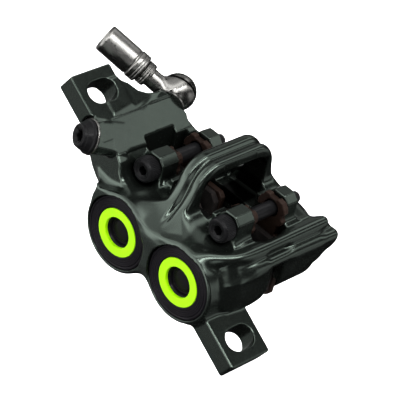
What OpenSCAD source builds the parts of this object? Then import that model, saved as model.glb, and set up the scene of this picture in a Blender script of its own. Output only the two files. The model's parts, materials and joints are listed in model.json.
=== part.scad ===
// Four-piston disc brake caliper for a bicycle, with its hose fitting.
// The origin lies midway between the two mounting slots, on the plane that the ears rest on.
// +X runs along the ears, +Y along the wheel axle towards the wheel, +Z up out of the mounting plane.
// The caliper's own frame, body_frame(), lies at the middle of the piston line in the rotor's plane.
// It leans by tilt about Y: its X runs along the pistons, its Z out of the rotor's edge.

/* [Mounting ears] */
// Distance between the mounting slots, centre to centre
mount_spacing = 74; // [72:0.5:76]
// Thickness of each ear
ear_thickness = 6; // [5:0.25:7]
// Width of each ear, along the wheel axle
ear_width = 14.2; // [12.4:0.2:15]
// Length of an ear beyond the middle of its slot
ear_end = 6.5; // [5.5:0.1:8]
// Radius of an ear's outer corners
ear_corner = 0.9; // [0.6:0.1:2.5]
// Start of the right ear, from the middle of the piston line
right_ear_root = 17; // [16.4:0.1:17.6]
// Knee of the web between the left ear and the hose port, from the slot's outer side
flare_knee = 5.2; // [4.8:0.1:5.6]
// Height of that web's shoulder, from the slots' line
flare_shoulder = 13; // [12.6:0.1:13.6]
// Width of a mounting slot
slot_width = 6.4; // [6.2:0.1:6.8]
// Length of a mounting slot, end to end
slot_length = 9.4; // [8:0.2:10.4]

/* [Placement of the cylinders] */
// Lean of the piston line against the mounting plane, in degrees
tilt = 30.3; // [28:0.5:33]
// Middle of the piston line along the ears
pair_x = 7.1; // [6:0.1:8]
// Middle of the piston line above the mounting plane
pair_z = -1.3; // [-2.2:0.1:0]
// Distance from the slots to the rotor's plane, along the axle
rotor_y = 15; // [14:0.2:16]

/* [Rotor space] */
// Diameter of the largest rotor
rotor_diameter = 203; // [180:1:220]
// Height of the rotor's edge above the piston line
rotor_edge = 9; // [8:0.25:10]
// Gap left between rotor space and the rotor's edge
edge_gap = 1.6; // [1:0.1:2.2]
// Width of the slot for the rotor
rotor_slot = 5; // [4.6:0.1:5.6]

/* [Cylinders] */
// Distance between the two pistons of one side
piston_pitch = 23.2; // [22.4:0.1:24]
// Diameter of a piston
piston_diameter = 17; // [16:0.1:17.8]
// Length of a piston
piston_length = 10.4; // [9:0.1:11.4]
// Running gap round a piston, on the radius
piston_gap = 0.04; // [0.02:0.01:0.08]
// Room left behind a piston in the blind inboard bores
back_room = 1.4; // [0.8:0.1:1.6]
// Thickness of a piston's wall
piston_wall = 2.6; // [1.8:0.1:3.4]
// Thickness of a piston's floor
piston_floor = 4; // [3.6:0.1:5]
// Radius of a cylinder housing
housing_radius = 11.5; // [11.3:0.1:12]
// Half the height of the waist between two housings
waist_half = 6.4; // [5:0.2:8]
// Outer face of the outboard housings, from the rotor's plane
outboard_face = 23.4; // [22.8:0.2:25]
// Outer face of the inboard housings, from the rotor's plane
inboard_face = 19.6; // [19.2:0.2:21]
// Width of the rounded edge on the housings
housing_bevel = 0.7; // [0.3:0.1:0.8]
// Side of a piston seal's square section
seal_section = 1.8; // [1.4:0.1:2.2]
// Depth of a piston seal's groove in from the pad pocket
seal_depth = 3.2; // [2.4:0.1:4]
// Diameter of the drillings between two bores
duct_diameter = 2.4; // [1.6:0.1:2.8]

/* [Cylinder caps] */
// Diameter of a cap
cap_diameter = 20.8; // [20.2:0.1:21.2]
// Depth of a cap's head in its housing
cap_depth = 2.8; // [2.4:0.1:3]
// Diameter of a cap's spigot
cap_spigot_diameter = 18.4; // [18:0.1:18.8]
// Length of a cap's spigot
cap_spigot_length = 2.2; // [2:0.1:2.4]
// Outer diameter of the coloured ring
ring_outer = 13.7; // [12.8:0.1:15]
// Inner diameter of the coloured ring
ring_inner = 8.6; // [7.8:0.1:9.6]
// Thickness of the coloured ring
ring_thickness = 1; // [0.6:0.1:1.2]
// Depth of the hollow in the middle of a cap
cap_hollow = 1.3; // [0.8:0.1:1.6]
// Thickness of a cap's O-ring
cap_seal_section = 1; // [0.8:0.1:1.2]

/* [Pads] */
// Width of the pad pocket, across the rotor
pocket_width = 12.4; // [12:0.1:12.8]
// Gap between a resting pad and the wall behind it
pad_clearance = 0.3; // [0.2:0.05:0.5]
// Room at the outer end of a pad
pad_end_gap = 0.6; // [0.3:0.1:1]
// Thickness of a backing plate
backing_thickness = 1.8; // [1.6:0.1:2]
// Thickness of a friction lining
lining_thickness = 1.8; // [1.4:0.1:2]
// Length of a backing plate along the pistons
pad_length = 19.6; // [18:0.2:20.4]
// Height of a backing plate without its tab
pad_height = 18.4; // [17:0.2:19.4]
// Width of the bare rim round a lining
lining_inset = 0.5; // [0.2:0.1:1.2]
// Width of a pad's tab
tab_width = 9.6; // [9:0.1:10.2]
// Height of the tab's top above the pad pin
tab_top = 3.5; // [3.2:0.1:4]
// Width of the outboard plates' tabs, which stand behind the lugs
outboard_tab_width = 6.2; // [6:0.1:6.8]
// Top of the outboard tabs above the pin's centre
outboard_tab_top = 3; // [2.9:0.1:3.2]
// Gap at the sides of a tab
tab_side_gap = 0.35; // [0.3:0.05:0.6]
// Gap round the pin in a tab, on the radius
tab_gap = 0.35; // [0.3:0.05:0.6]
// Diameter of a piston magnet
magnet_diameter = 8; // [6:0.2:9]
// Thickness of a piston magnet
magnet_thickness = 2.4; // [1.6:0.2:3]

/* [Pad pins] */
// Distance between the two pad pins
pin_pitch = 28.3; // [27.6:0.1:29]
// Height of a pad pin above the piston line
pin_height = 16.1; // [15.6:0.1:16.6]
// Diameter of a pad pin
pin_diameter = 4; // [3.6:0.1:4.4]
// Diameter of a pad pin's head
pin_head_diameter = 7; // [6.4:0.1:7.4]
// Length of a pad pin's head
pin_head_length = 4; // [3.4:0.1:4.4]
// Distance from the rotor's plane to the seat of the head
pin_seat = 12.4; // [12:0.1:13]
// Distance from the rotor's plane to the pin's tip
pin_tip = 14.2; // [13.4:0.1:15]
// Size across the flats of a pad pin's socket
pin_socket = 2.5; // [2:0.1:3]
// Distance from the rotor's plane to the inboard lugs' face
inner_lug_face = 10.4; // [10:0.1:11]
// Width of a pin lug
lug_width = 7.2; // [6:0.1:7.6]
// Height of a lug's top above its pin
lug_top = 4.1; // [3:0.1:4.4]
// Chamfer of the lugs' upper edges
lug_chamfer = 1.9; // [1:0.1:2.2]
// Room round a pin's head in front of its lug, on the radius
head_room = 1.1; // [0.6:0.1:1.6]
// Width of the small guides beside the tabs
guide_width = 2.2; // [1.6:0.1:2.6]
// Height of the small guides above the piston line
guide_top = 15.5; // [14.8:0.1:16.2]

/* [Bridges] */
// Height of the legs' tops between the bridges
leg_top = 12.4; // [11.8:0.1:13]
// Outer face of the legs at the lugs, from the rotor's plane
leg_face = 16.4; // [15.6:0.2:17.4]
// Height of the middle arch above the piston line
arch_top = 27.2; // [25:0.2:28]
// Half the outer span of the middle arch
arch_half = 14; // [13.2:0.2:15]
// Thickness of the middle arch
arch_thickness = 2.9; // [2.4:0.1:3.6]
// Width of the middle arch
arch_width = 7.4; // [6.6:0.2:8.4]
// Radius of the round feet of its ribs
foot_radius = 1.9; // [1.6:0.1:2.2]
// Width of the groove between the two ribs
arch_groove = 1.6; // [1:0.1:2.4]
// Height of the end arch above the piston line
end_top = 12.6; // [12.2:0.1:13.2]
// Outer end of the body beyond the right piston
end_reach = 13.2; // [12.4:0.2:14.2]
// Length of the end arch along the pistons
end_length = 6.4; // [5.8:0.2:7.4]
// Inboard end of the end arch, from the rotor's plane
end_inboard = 21.2; // [20:0.2:22]
// Width of a rib of the end arch
end_rib = 1.9; // [1.5:0.1:2.2]
// Right edge of the left bridge, from the left piston
left_bridge_edge = 8.6; // [8.2:0.1:9]
// Depth of the notch in that edge
notch_depth = 1.8; // [1:0.1:2.2]
// Outboard end of the notch, from the rotor's plane
notch_outboard = 8.8; // [8:0.2:9.6]
// Inboard end of the notch, from the rotor's plane
notch_inboard = 2.1; // [1.4:0.1:3]
// Outboard side of the left bridge, from the slots' line
bridge_front = 5.2; // [4.6:0.1:5.8]
// Reach of the left bridge's foot beyond the hose port, along the slots' line
bridge_reach = 15.9; // [15.2:0.1:16.6]
// Depth of the left bridge's foot below the ears' faces
bridge_depth = 8.4; // [7.8:0.1:9]

/* [Bleed screw and hose port] */
// Turn of the bleed screw and the hose port about the vertical, in degrees
port_turn = 25; // [22:0.5:28]
// Distance from the middle to the bleed seat, along the ears
bleed_x = -27.1; // [-28:0.1:-26]
// Distance from the slots' line to the bleed seat
bleed_y = -8.6; // [-9.4:0.1:-8]
// Diameter of the bleed screw's cone at its base
bleed_base_diameter = 9.4; // [8.8:0.1:10]
// Diameter of the cone's front face
bleed_front_diameter = 5.8; // [5.2:0.1:6.4]
// Height of the bleed screw's cone
bleed_height = 3.4; // [3:0.1:4]
// Diameter of the bleed screw's shank
bleed_shank_diameter = 4.6; // [4.2:0.1:5.2]
// Length of the bleed screw's shank
bleed_shank_length = 8; // [7:0.2:9]
// Size of the bleed screw's six-lobed socket
bleed_socket = 3.3; // [2.8:0.1:3.8]
// Thickness of the washer behind the cone
bleed_washer_thickness = 0.6; // [0.4:0.1:0.8]
// Distance from the middle to the hose port's seat, along the ears
port_x = -27.9; // [-28.4:0.1:-27.2]
// Distance from the slots' line to the hose port's seat
port_y = 20.7; // [20:0.1:21.2]

/* [Hose fitting] */
// Dip of the hose below the slots' plane, at rest, in degrees
hose_dip = 1.4; // [0:0.2:4]
// Radius of the ball-shaped banjo
ball_radius = 5.2; // [4.9:0.1:5.6]
// Height of the banjo's ring, from seat to bolt head
banjo_height = 5; // [4.6:0.1:5.6]
// Diameter of the banjo bolt's shank
banjo_bolt_diameter = 5; // [4.6:0.1:5.4]
// Length of the banjo bolt's thread in the body
banjo_thread_length = 7; // [6:0.2:8]
// Gap round the bolt in the banjo, on the radius
banjo_gap = 0.08; // [0.04:0.01:0.1]
// Gap between the banjo and each of its washers
banjo_side_gap = 0.05; // [0.02:0.01:0.1]
// Size across the flats of the bolt's socket
banjo_socket = 3; // [2.5:0.1:3.5]
// Thickness of a banjo sealing washer
banjo_washer = 0.5; // [0.4:0.1:0.8]
// Diameter of the neck
neck_diameter = 5.2; // [4.8:0.1:5.6]
// Distance from the banjo's axis to the collar
neck_length = 8.6; // [8:0.2:9.6]
// Diameter of the collar
collar_diameter = 7; // [6.4:0.1:7.4]
// Length of the collar
collar_length = 2.6; // [2:0.1:3]
// Outer diameter of the hose sleeve
sleeve_diameter = 8; // [7.2:0.1:8]
// Length of the hose sleeve
sleeve_length = 13.5; // [12:0.5:15]
// Thickness of the sleeve's closed end
sleeve_floor = 1.2; // [0.8:0.1:1.6]
// Bore of the hose sleeve's mouth
sleeve_bore = 5.6; // [5.2:0.1:6]
// Outer diameter of the barb inside the sleeve
barb_diameter = 2.6; // [2.2:0.1:3]
// Bore of the barb
barb_bore = 1.4; // [1:0.1:1.6]
// Length of the barb in the sleeve
barb_length = 5; // [4:0.2:7]

/* [Hidden] */
$fn = 48;
// Overlap of a cut beyond the face it starts from
cut = 1;
// Overlap of a piece with the one it grows out of
nick = 0.2;
// Length that reaches past the whole caliper
far = 60;
body_colour = [0.27, 0.31, 0.29];
black_steel = [0.09, 0.09, 0.1];
steel = [0.78, 0.77, 0.74];
seal_black = [0.05, 0.05, 0.05];
magnet_grey = [0.55, 0.56, 0.58];
ring_colour = [0.8, 1, 0];
backing_red = [0.3, 0.14, 0.11];
lining_grey = [0.12, 0.12, 0.12];
pocket_half = pocket_width / 2;
piston_radius = piston_diameter / 2;
bore_radius = piston_radius + piston_gap;
piston_front = pocket_half - pad_clearance;
piston_back = piston_front + piston_length;
bore_end = piston_back + back_room;
lining_back = piston_front - backing_thickness;
lining_front = lining_back - lining_thickness;
seal_near = pocket_half + seal_depth;
cap_radius = cap_diameter / 2;
cap_seat = outboard_face - cap_depth;
spigot_radius = cap_spigot_diameter / 2;
spigot_end = cap_seat - cap_spigot_length;
spigot_middle = cap_seat - cap_spigot_length / 2;
// Fillet between two housings: it touches both circles and the waist
waist_fillet = (pow(piston_pitch / 2, 2) + pow(waist_half, 2) - pow(housing_radius, 2))
    / (2 * (housing_radius - waist_half));
waist_x = piston_pitch / 2 * waist_fillet / (housing_radius + waist_fillet);
waist_z = (waist_half + waist_fillet) * housing_radius / (housing_radius + waist_fillet);
right_end = piston_pitch / 2 + end_reach;
end_from = right_end - end_length;
rib_x = right_end - 3.6;
low_rib_x = right_end - end_rib + 0.3;
low_rib_z = end_top - 5.8;
bridge_edge = -piston_pitch / 2 - left_bridge_edge;
pocket_end = piston_pitch / 2 + pad_length / 2 + pad_end_gap;
pin_radius = pin_diameter / 2;
tab_reach = tab_width / 2 + tab_side_gap;
right_window = pin_pitch / 2 + tab_reach;
guide_from = pin_pitch / 2 - tab_reach - guide_width;
arch_corner = arch_half / 2;
rib = (arch_width - arch_groove) / 2;
slot_round = rotor_diameter / 2 + edge_gap;
ear_half = ear_width / 2;
ear_mid = ear_thickness / 2;
slot_travel = slot_length - slot_width;
banjo_from = banjo_washer + banjo_side_gap;
ball_centre = banjo_from + banjo_height;
head_from = ball_centre + banjo_side_gap + banjo_washer;
neck_height = banjo_from + banjo_height / 2;
washer_radius = ball_radius - 0.8;
neck_free = washer_radius + 0.4;
bolt_radius = banjo_bolt_diameter / 2;
collar_end = neck_length + collar_length;
bleed_cone_radius = bleed_base_diameter / 2;

// The caliper's own frame
module body_frame() {
    translate([pair_x, rotor_y, pair_z]) rotate([0, -tilt, 0]) children();
}

// A flat outline in X and Z, drawn out along Y
module along_y(from, to) {
    translate([0, to, 0]) rotate([90, 0, 0]) linear_extrude(to - from) children();
}

// A flat outline in Y and Z, drawn out along X
module along_x(from, to) {
    translate([from, 0, 0]) rotate([90, 0, 90]) linear_extrude(to - from) children();
}

// A rod along Y
module rod_y(radius, from, to) {
    translate([0, to, 0]) rotate([90, 0, 0]) cylinder(r = radius, h = to - from);
}

// A ring along Y
module ring_y(outer, inner, from, to) {
    difference() {
        rod_y(outer, from, to);
        rod_y(inner, from - cut, to + cut);
    }
}

// A rod along X
module rod_x(radius, from, to) {
    translate([from, 0, 0]) rotate([0, 90, 0]) cylinder(r = radius, h = to - from);
}

// A round bar from one point to another, with a rounded far end
module bar(a, b, radius) {
    d = b - a;
    translate(a) rotate([0, acos(d[2] / norm(d)), atan2(d[1], d[0])]) {
        cylinder(r = radius, h = norm(d));
        translate([0, 0, norm(d)]) sphere(radius + nick);
    }
}

// A profile of radius and height, turned about Y
module turned_y() {
    rotate([-90, 0, 0]) rotate_extrude() children();
}

// In the caliper's frame: moves to a piston, left (-1) or right (1), outboard (-1) or inboard (1)
// of the rotor, with +Y away from the rotor
module at_piston(side, end) {
    translate([end * piston_pitch / 2, 0, 0]) if (side < 0) {
        mirror([0, 1, 0]) children();
    } else {
        children();
    }
}

// In the caliper's frame: moves to a pad pin
module at_pin(end) {
    translate([end * pin_pitch / 2, 0, pin_height]) children();
}

// The bleed screw's frame: its origin on the seat, +Z out of the body
module at_bleed() {
    translate([bleed_x, bleed_y, ear_mid]) rotate([0, 0, -port_turn]) rotate([90, 0, 0]) children();
}

// The hose port's frame: its origin on the seat, +Z out of the body, +X along the hose
module at_port() {
    translate([port_x, port_y, ear_mid]) rotate([0, 0, port_turn + 180]) rotate([90, 0, 0]) children();
}

// The port's frame, turned by the hose's dip
module at_hose() {
    at_port() rotate([0, 0, -hose_dip]) children();
}

// Outline of one pair of housings
module pair_outline(radius) {
    for (end = [-1, 1]) translate([end * piston_pitch / 2, 0]) circle(radius);
    difference() {
        square([2 * waist_x, 2 * waist_z], center = true);
        for (s = [-1, 1]) translate([0, s * (waist_half + waist_fillet)]) circle(waist_fillet);
    }
}

// Outline of a leg without its housings: foot of the bridges and the end wall
module leg_outline() {
    polygon([[-piston_pitch / 2 - housing_radius, -2], [bridge_edge - 5, 6.4],
        [bridge_edge - 8.4, 11.2], [bridge_edge - 4.7, leg_top], [end_from, leg_top],
        [right_end - 2, end_top - 4], [right_end, end_top - 6], [right_end, -3.8],
        [piston_pitch / 2, -6], [-piston_pitch / 2, -6]]);
}

// Housings with a bevelled front edge
module housings(face) {
    along_y(pocket_half - nick, face - housing_bevel) pair_outline(housing_radius);
    for (end = [-1, 1]) translate([end * piston_pitch / 2, face, 0]) rotate([90, 0, 0])
        cylinder(r1 = housing_radius - housing_bevel, r2 = housing_radius, h = housing_bevel);
}

module legs() {
    along_y(-leg_face, -pocket_half + nick) leg_outline();
    along_y(pocket_half - nick, leg_face) leg_outline();
    mirror([0, 1, 0]) housings(outboard_face);
    housings(inboard_face);
    // Step above the waist, under the middle arch
    along_y(-outboard_face + housing_bevel + nick, -leg_face + nick)
        translate([0, waist_half - 2.4]) square([piston_pitch * 0.55, 7], center = true);
}

// Outline of the middle arch, seen along the pistons, smaller by the inset
module arch_outline(inset) {
    half = arch_half - inset;
    top = arch_top - inset;
    corner = arch_corner - inset;
    foot = half + 6;
    for (s = [-1, 1]) {
        translate([s * (half - corner), top - corner]) circle(corner);
        polygon([[0, 0], [s * foot, 0], [s * foot, leg_top - 3.4], [s * (half + 1.9), top - corner - 2.6],
            [s * half, top - corner], [0, top - corner]]);
    }
    translate([corner - half, 0]) square([2 * (half - corner), top]);
}

// The middle arch with its two ribs
module middle_arch() {
    for (s = [-1, 1]) translate([s * (arch_width - rib) / 2, 0, 0]) along_x(-rib / 2, rib / 2)
        arch_outline(0);
    along_x(-arch_width / 2 + 0.1, arch_width / 2 - 0.1) arch_outline(0.9);
}

// Feet of the arch's ribs, which spread towards the housings
module arch_feet() {
    from_y = arch_half - 1.6;
    for (s = [-1, 1]) {
        bar([s * 2.4, -from_y, arch_top - 7.7], [s * 5.2, -from_y - 7.4, 5], foot_radius);
        bar([s * 2.4, from_y, arch_top - 7.7], [s * 4.8, from_y + 4.6, 5], foot_radius);
    }
}

// Room under the middle arch, down to the legs' tops
module arch_room() {
    inner = arch_half - arch_thickness + 0.6;
    corner = arch_corner - arch_thickness;
    top = arch_top - arch_thickness;
    floor_z = leg_top - 2.2;
    along_x(-arch_width, arch_width) {
        for (s = [-1, 1]) translate([s * (inner - corner), top - corner]) circle(corner);
        translate([corner - inner, floor_z]) square([2 * (inner - corner), top - floor_z]);
        translate([-inner, floor_z]) square([2 * inner, top - corner - floor_z]);
    }
}

// The end arch with its two ribs, straight along the wheel axle
module end_arch() {
    intersection() {
        along_y(-leg_face, end_inboard + 1.6) {
            polygon([[end_from, 0], [end_from, end_top - 2], [rib_x, end_top - 0.2],
                [rib_x + end_rib - 0.1, end_top - 3.2], [low_rib_x - 0.2, low_rib_z + end_rib - 0.1],
                [right_end, low_rib_z], [right_end, -3.9], [end_from, -3.9]]);
            translate([rib_x, end_top - end_rib]) circle(end_rib);
            translate([low_rib_x, low_rib_z]) circle(end_rib);
        }
        // The inboard end leans in above and below the lower rib
        along_x(end_from - cut, right_end + 2) polygon([[-leg_face - cut, -5], [-3.4, -3.8],
            [leg_face - 5.3, -2.6], [leg_face + 1.3, -1], [end_inboard - 0.1, 1], [end_inboard + 1.5, 3.8],
            [end_inboard + 1.5, low_rib_z], [end_inboard - 0.2, end_top - 3.2],
            [end_inboard - 1.7, end_top + cut], [-leg_face - cut, end_top + cut]]);
    }
}

// Roots of those two ribs, curving into the outboard housing
module end_rib_roots() {
    high = end_top - end_rib;
    bend = [rib_x - 1.8, -leg_face + 0.8, high - 0.4];
    low_bend = [low_rib_x - 1.9, -leg_face - 0.4, low_rib_z - 1];
    bar([rib_x, -8.6, high], bend, end_rib - 0.15);
    bar(bend, [rib_x - 6, -outboard_face + 3, 6.8], end_rib - 0.2);
    bar([low_rib_x, -9.4, low_rib_z], low_bend, end_rib - 0.15);
    bar(low_bend, [low_rib_x - 5.6, -outboard_face + 2.8, 3], end_rib - 0.2);
}

// The wide left bridge, drawn in the mounting frame because its top runs on from the ear;
// its inboard end is cut square to the hose port
module left_bridge() {
    turn = tan(port_turn);
    inner_x = port_x + 9.6;
    intersection() {
        along_y(-far, far) polygon([[port_x - 2.6, ear_thickness], [port_x - 0.6, ear_thickness + 0.3],
            [port_x + 7.9, ear_thickness - 1.7], [port_x + 12.9, ear_thickness - 2.7],
            [port_x + bridge_reach, 0.4 - bridge_depth], [port_x + bridge_reach - 5.8, -bridge_depth],
            [port_x + 3.9, 2.6 - bridge_depth], [port_x - 2.6, 0]]);
        translate([0, 0, -far]) linear_extrude(2 * far) polygon([[port_x - 5, -bridge_front],
            [-5, -bridge_front], [-5, port_y + 9.6 * turn], [inner_x, port_y + 9.6 * turn],
            [port_x - 5, port_y - 5 * turn]]);
    }
}

// One ear as a flat plate with rounded outer corners
module ear(side, root) {
    tip = mount_spacing / 2 + ear_end;
    from = side < 0 ? -tip : root;
    corner_x = side * (tip - ear_corner);
    translate([from + (side < 0 ? ear_corner : 0), -ear_half, 0])
        cube([tip - root - ear_corner, ear_width, ear_thickness]);
    translate([from, -ear_half + ear_corner, 0])
        cube([tip - root, ear_width - 2 * ear_corner, ear_thickness]);
    for (s = [-1, 1]) translate([corner_x, s * (ear_half - ear_corner), 0])
        cylinder(r = ear_corner, h = ear_thickness);
}

// Web that widens the left ear towards the hose port
module ear_flare() {
    from = -mount_spacing / 2 - 1.6;
    linear_extrude(ear_thickness) polygon([[from, 0], [from, ear_half - 0.4], [from + 2.2, 9.1],
        [from + flare_knee, 11], [from + flare_knee + 1.1, flare_shoulder],
        [port_x - 2.8, rotor_y + 2], [port_x - 2.8, port_y - 2],
        [port_x + 2, port_y - 2], [port_x + 2, 0]]);
}

// Root of the right ear, up to the end wall
module right_root() {
    from = pair_x + 8;
    translate([from, -ear_half, 0])
        cube([mount_spacing / 2 - slot_width - from, ear_width, ear_thickness]);
}

// Bosses of the two ports, cut flat at the ear's top
module bosses() {
    intersection() {
        union() {
            at_bleed() translate([0, 0, -9]) cylinder(r = bleed_cone_radius + 0.5, h = 9 + cut);
            at_port() translate([0, 0, -10]) cylinder(r = ball_radius, h = 10);
        }
        translate([-far, -far, -far]) cube([2 * far, 2 * far, far + ear_thickness]);
    }
}

// Outline of a lug, seen along its pin
module lug_outline() {
    half = lug_width / 2;
    polygon([[-half, leg_top - pin_height - 2], [-half, lug_top - lug_chamfer],
        [-half + lug_chamfer, lug_top], [half - lug_chamfer, lug_top],
        [half, lug_top - lug_chamfer], [half, leg_top - pin_height - 2]]);
}

// The lugs that hold a pad pin on both sides of its window, and the guides beside the tabs
module lugs() {
    for (end = [-1, 1]) {
        at_pin(end) {
            along_y(-pin_seat, -pocket_half) lug_outline();
            along_y(pocket_half, inner_lug_face) lug_outline();
        }
        for (s = [-1, 1]) translate([end * (guide_from + guide_width / 2), s * (pocket_half + 2.4), leg_top - 1])
            translate([-guide_width / 2, -2.4, 0]) cube([guide_width, 4.8, guide_top - leg_top + 1]);
    }
}

// Room of the rotor and the pads, open below
module pad_space() {
    translate([-pocket_end, -pocket_half, -far]) cube([2 * pocket_end, pocket_width, far + leg_top - 1.6]);
    translate([0, 0, rotor_edge - rotor_diameter / 2]) rod_y(slot_round, -rotor_slot / 2, rotor_slot / 2);
    // Windows between the bridges
    translate([bridge_edge, -pocket_half, leg_top - 2])
        cube([-bridge_edge - arch_width / 2, pocket_width, far]);
    translate([arch_width / 2, -pocket_half, leg_top - 2])
        cube([right_window - arch_width / 2, pocket_width, far]);
    // Notch in the left bridge's edge
    translate([bridge_edge - notch_depth, -notch_outboard, leg_top - 2])
        cube([notch_depth + cut, notch_outboard + notch_inboard, far]);
}

// Room above the legs between the bridges, and in front of the lugs
module top_room() {
    difference() {
        union() {
            translate([bridge_edge, -leg_face - 1.2, leg_top])
                cube([-bridge_edge - arch_width / 2, leg_face + 1.2 + far, far]);
            translate([arch_width / 2, -far, leg_top]) cube([end_from - arch_width / 2, 2 * far, far]);
        }
        translate([-arch_width / 2, -far, 0]) cube([arch_width, 2 * far, far]);
    }
    for (end = [-1, 1]) at_pin(end)
        rod_y(pin_head_diameter / 2 + head_room, -outboard_face - cut, -pin_seat);
}

module pin_holes() {
    for (end = [-1, 1]) at_pin(end) rod_y(pin_radius, -pin_seat - cut, inner_lug_face + cut);
}

module cylinder_bores() {
    for (end = [-1, 1]) {
        at_piston(1, end) rod_y(bore_radius, pocket_half - cut, bore_end);
        at_piston(-1, end) {
            rod_y(bore_radius, pocket_half - cut, cap_seat);
            rod_y(spigot_radius, spigot_end, outboard_face);
            rod_y(cap_radius, cap_seat, outboard_face + cut);
        }
        for (side = [-1, 1]) at_piston(side, end)
            rod_y(piston_radius + seal_section, seal_near, seal_near + seal_section);
    }
    // Drillings that join the two bores of one side, behind the pistons
    for (side = [-1, 1]) translate([0, side * (piston_back + back_room / 2 - 0.4), 0])
        rod_x(duct_diameter / 2, -piston_pitch / 2, piston_pitch / 2);
}

module slots() {
    for (s = [-1, 1]) translate([s * mount_spacing / 2, 0, -cut]) {
        for (t = [-1, 1]) translate([0, t * slot_travel / 2, 0]) cylinder(d = slot_width, h = far);
        translate([-slot_width / 2, -slot_travel / 2, 0]) cube([slot_width, slot_travel, far]);
    }
}

// The two ports: room for the screws, and in front of the bleed seat
module ports() {
    at_bleed() {
        translate([0, 0, -bleed_shank_length - 1]) cylinder(d = bleed_shank_diameter, h = bleed_shank_length + 6);
        cylinder(r = bleed_cone_radius + 0.6, h = 12);
    }
    at_port() translate([0, 0, -banjo_thread_length - 1])
        cylinder(r = bolt_radius, h = banjo_thread_length + 4);
}

module caliper_body() {
    color(body_colour) difference() {
        union() {
            difference() {
                union() {
                    body_frame() difference() {
                        union() {
                            legs();
                            middle_arch();
                            arch_feet();
                            end_arch();
                            end_rib_roots();
                        }
                        arch_room();
                    }
                    left_bridge();
                    ear(-1, -port_x - 2);
                    ear(1, pair_x + right_ear_root);
                    ear_flare();
                    right_root();
                    bosses();
                }
                body_frame() top_room();
            }
            body_frame() lugs();
        }
        body_frame() {
            pad_space();
            pin_holes();
            cylinder_bores();
        }
        slots();
        ports();
    }
}

// Screwed cap of an outboard cylinder, with a recess for its coloured ring
module cylinder_cap(end) {
    color(black_steel) body_frame() at_piston(-1, end) difference() {
        union() {
            rod_y(cap_radius, cap_seat, outboard_face);
            rod_y(spigot_radius, spigot_end, cap_seat + nick);
        }
        rod_y(ring_outer / 2, outboard_face - ring_thickness, outboard_face + cut);
        rod_y(ring_inner / 2, outboard_face - ring_thickness - cap_hollow, outboard_face + cut);
        ring_y(spigot_radius + cut, spigot_radius - cap_seal_section,
            spigot_middle - cap_seal_section / 2, spigot_middle + cap_seal_section / 2);
    }
}

module cap_o_ring(end) {
    color(seal_black) body_frame() at_piston(-1, end) turned_y()
        translate([spigot_radius - cap_seal_section / 2, spigot_middle]) circle(d = cap_seal_section);
}

module cap_colour_ring(end) {
    color(ring_colour) body_frame() at_piston(-1, end)
        ring_y(ring_outer / 2, ring_inner / 2, outboard_face - ring_thickness, outboard_face);
}

// A cup-shaped piston, open at the back, with a magnet's seat in its face
module piston(side, end) {
    color(steel) body_frame() at_piston(side, end) difference() {
        turned_y() polygon([[0, piston_front], [piston_radius - 0.5, piston_front],
            [piston_radius, piston_front + 0.5], [piston_radius, piston_back], [0, piston_back]]);
        rod_y(magnet_diameter / 2, piston_front - cut, piston_front + magnet_thickness);
        rod_y(piston_radius - piston_wall, piston_front + piston_floor, piston_back + cut);
    }
}

module piston_magnet(side, end) {
    color(magnet_grey) body_frame() at_piston(side, end)
        rod_y(magnet_diameter / 2, piston_front, piston_front + magnet_thickness);
}

// Square seal in its groove; it leaves half the piston's running gap
module piston_seal(side, end) {
    color(seal_black) body_frame() at_piston(side, end) ring_y(piston_radius + seal_section,
        piston_radius + piston_gap / 2, seal_near, seal_near + seal_section);
}

// Rectangle with cut corners
module pad_outline(length, height, corner) {
    x = length / 2;
    z = height / 2;
    polygon([[-x, corner - z], [corner - x, -z], [x - corner, -z], [x, corner - z],
        [x, z - corner], [x - corner, z], [corner - x, z], [-x, z - corner]]);
}

// Backing plate with the tab that hangs on the pad pin
module pad_backing(side, end) {
    tab_x = end * (pin_pitch - piston_pitch) / 2;
    width = side < 0 ? outboard_tab_width : tab_width;
    tab_z = pin_height + (side < 0 ? outboard_tab_top : tab_top);
    corner = 2.2;
    color(backing_red) body_frame() at_piston(side, end) difference() {
        along_y(lining_back, piston_front) {
            pad_outline(pad_length, pad_height, 1.2);
            translate([tab_x - width / 2, 0]) square([width, tab_z - corner]);
            translate([tab_x - width / 2 + corner, 0]) square([width - 2 * corner, tab_z]);
            for (s = [-1, 1]) translate([tab_x + s * (width / 2 - corner), tab_z - corner])
                circle(corner);
        }
        translate([tab_x, 0, pin_height]) rod_y(pin_radius + tab_gap, lining_back - cut, piston_front + cut);
    }
}

module pad_lining(side, end) {
    color(lining_grey) body_frame() at_piston(side, end) along_y(lining_front, lining_back)
        pad_outline(pad_length - 2 * lining_inset, pad_height - 2 * lining_inset, 2);
}

// Pad pin: head with a six-sided socket, shank and thinner tip
module pad_pin(end) {
    front = -pin_seat - pin_head_length;
    color(black_steel) body_frame() at_pin(end) difference() {
        union() {
            turned_y() polygon([[0, front], [pin_head_diameter / 2 - 0.4, front],
                [pin_head_diameter / 2, front + 0.4], [pin_head_diameter / 2, -pin_seat], [0, -pin_seat]]);
            rod_y(pin_radius, -pin_seat - nick, inner_lug_face);
            rod_y(pin_radius - 0.4, inner_lug_face - nick, pin_tip);
        }
        translate([0, front - cut, 0]) rotate([-90, 0, 0])
            cylinder(d = pin_socket / cos(30), h = pin_head_length * 0.6 + cut, $fn = 6);
    }
}

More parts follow.
